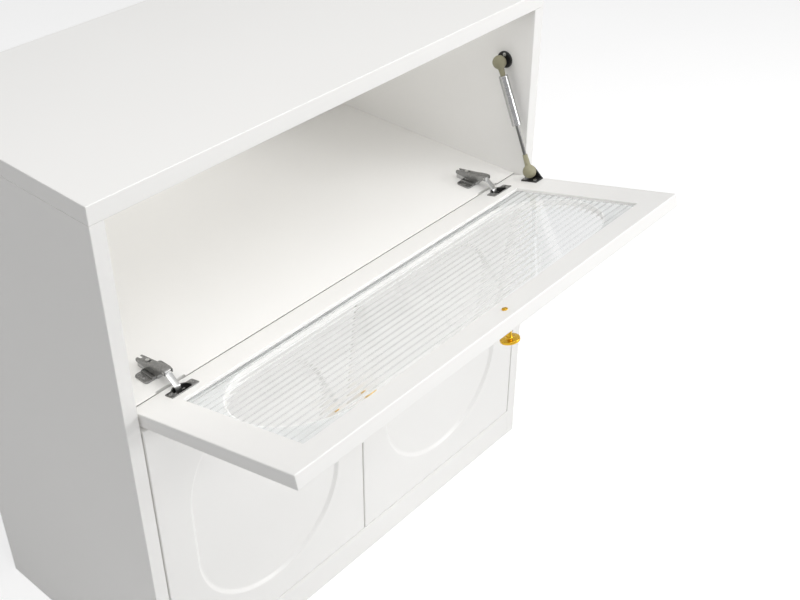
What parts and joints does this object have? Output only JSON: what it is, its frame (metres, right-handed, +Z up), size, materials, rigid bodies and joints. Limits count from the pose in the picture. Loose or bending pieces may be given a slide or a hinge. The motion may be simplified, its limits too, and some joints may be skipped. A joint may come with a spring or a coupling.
{
  "type": "glass door cabinet",
  "caption": "White floor-standing cabinet bay: a drop-down flap with a fluted glass pane and lid strut closes an open compartment above a cupboard with inset doors.",
  "frame": {"origin": "on the ground, under the middle of the cabinet body", "axes": "+X to the right seen from the front, +Y from the front to the back, +Z up"},
  "size_m": [0.8, 0.6701, 0.8395],
  "materials": {
    "white_lacquer": "satin white lacquer on fibreboard",
    "white_back": "matt white foil on thin fibreboard",
    "beech": "plain turned beech",
    "fluted_glass": "clear glass with rounded flutes",
    "glazing_tape": "white foam tape",
    "gold_brass": "polished gold-coloured brass",
    "nickel_steel": "nickel-plated pressed steel",
    "bright_steel": "bright nickel plate",
    "black_steel": "black painted steel",
    "tube_steel": "bright satin steel tube",
    "rod_steel": "dark grey ground steel",
    "olive_plastic": "olive grey moulded plastic",
    "screw_steel": "zinc-plated steel",
    "cast_zinc": null
  },
  "bodies": {
    "cabinet": {"left_side_panel": "white_lacquer", "right_side_panel": "white_lacquer", "top_board": "white_lacquer", "compartment_floor": "white_lacquer", "bottom_board": "white_lacquer", "plinth_board": "white_lacquer", "middle_support": "white_lacquer", "back_panel": "white_back", "back_panel_screws": "screw_steel", "rear_top_rail": "white_lacquer", "adjustable_shelf": "white_lacquer", "shelf_pins": "bright_steel", "cam_locks": "cast_zinc", "cam_bolts": "screw_steel", "dowels": "beech", "flap_hinge_plates": "nickel_steel", "flap_hinge_arms": "nickel_steel", "flap_hinge_plate_screws": "screw_steel", "flap_hinge_arm_screws": "screw_steel", "flap_hinge_arm_pins": "bright_steel", "strut_wall_plate": "black_steel", "strut_wall_screws": "screw_steel", "door_hinge_plates": "nickel_steel", "door_hinge_arms": "nickel_steel", "door_hinge_plate_screws": "screw_steel", "door_hinge_arm_screws": "screw_steel", "door_hinge_arm_pins": "bright_steel"},
    "flap": {"flap_frame": "white_lacquer", "flap_fluted_glass": "fluted_glass", "flap_glazing_tape": "glazing_tape", "flap_knob": "gold_brass", "flap_knob_screw": "gold_brass", "flap_hinge_cups": "nickel_steel", "flap_hinge_cup_screws": "screw_steel", "flap_hinge_cup_pins": "bright_steel", "strut_flap_bracket": "black_steel", "strut_bracket_screws": "screw_steel"},
    "flap_links": {"flap_hinge_links": "bright_steel"},
    "strut_tube_body": {"strut_tube": "tube_steel", "strut_top_socket": "olive_plastic", "strut_tube_gland": "tube_steel"},
    "strut_rod_body": {"strut_rod": "rod_steel", "strut_bottom_socket": "olive_plastic"},
    "left_door": {"left_door_panel": "white_lacquer", "left_door_knob": "gold_brass", "left_door_knob_screw": "gold_brass", "left_door_hinge_cups": "nickel_steel", "left_door_hinge_cup_screws": "screw_steel", "left_door_hinge_cup_pins": "bright_steel"},
    "left_door_link_body": {"left_door_hinge_links": "bright_steel"},
    "right_door": {"right_door_panel": "white_lacquer", "right_door_knob": "gold_brass", "right_door_knob_screw": "gold_brass", "right_door_hinge_cups": "nickel_steel", "right_door_hinge_cup_screws": "screw_steel", "right_door_hinge_cup_pins": "bright_steel"},
    "right_door_link_body": {"right_door_hinge_links": "bright_steel"}
  },
  "joints": [
    {"name": "flap_hinge", "type": "hinge", "parent": "cabinet", "child": "flap", "pos_m": [0, -0.19335, 0.52996], "axis": [1, 0, 0], "range_deg": [-75.2, 0]},
    {"name": "flap_link_hinge", "type": "hinge", "parent": "cabinet", "child": "flap_links", "pos_m": [0, -0.17553, 0.5595], "axis": [1, 0, 0], "range_deg": [0, 19.8]},
    {"name": "strut_top_hinge", "type": "hinge", "parent": "cabinet", "child": "strut_tube_body", "pos_m": [0.3654, -0.1515, 0.7255], "axis": [1, 0, 0], "range_deg": [0, 17.7]},
    {"name": "strut_foot_hinge", "type": "hinge", "parent": "flap", "child": "strut_rod_body", "pos_m": [0.3654, -0.21969, 0.56469], "axis": [1, 0, 0], "range_deg": [0, 92.9]},
    {"name": "left_door_hinge", "type": "hinge", "parent": "cabinet", "child": "left_door", "pos_m": [-0.367, -0.194, 0.28725], "axis": [0, 0, -1], "range_deg": [0, 95]},
    {"name": "left_door_link_hinge", "type": "hinge", "parent": "cabinet", "child": "left_door_link_body", "pos_m": [-0.34066, -0.17541, 0.28725], "axis": [0, 0, -1], "range_deg": [-25.8, 0]},
    {"name": "right_door_hinge", "type": "hinge", "parent": "cabinet", "child": "right_door", "pos_m": [0.367, -0.194, 0.28725], "axis": [0, 0, 1], "range_deg": [0, 95]},
    {"name": "right_door_link_hinge", "type": "hinge", "parent": "cabinet", "child": "right_door_link_body", "pos_m": [0.34066, -0.17541, 0.28725], "axis": [0, 0, 1], "range_deg": [-25.8, 0]}
  ],
  "couplings": [
    {"joint": "flap_link_hinge", "follows": "flap_hinge", "ratio": -0.2627},
    {"joint": "strut_top_hinge", "follows": "flap_hinge", "ratio": -0.23489},
    {"joint": "strut_foot_hinge", "follows": "flap_hinge", "ratio": -1.2349},
    {"joint": "left_door_link_hinge", "follows": "left_door_hinge", "ratio": -0.27089},
    {"joint": "right_door_link_hinge", "follows": "right_door_hinge", "ratio": -0.27089}
  ]
}
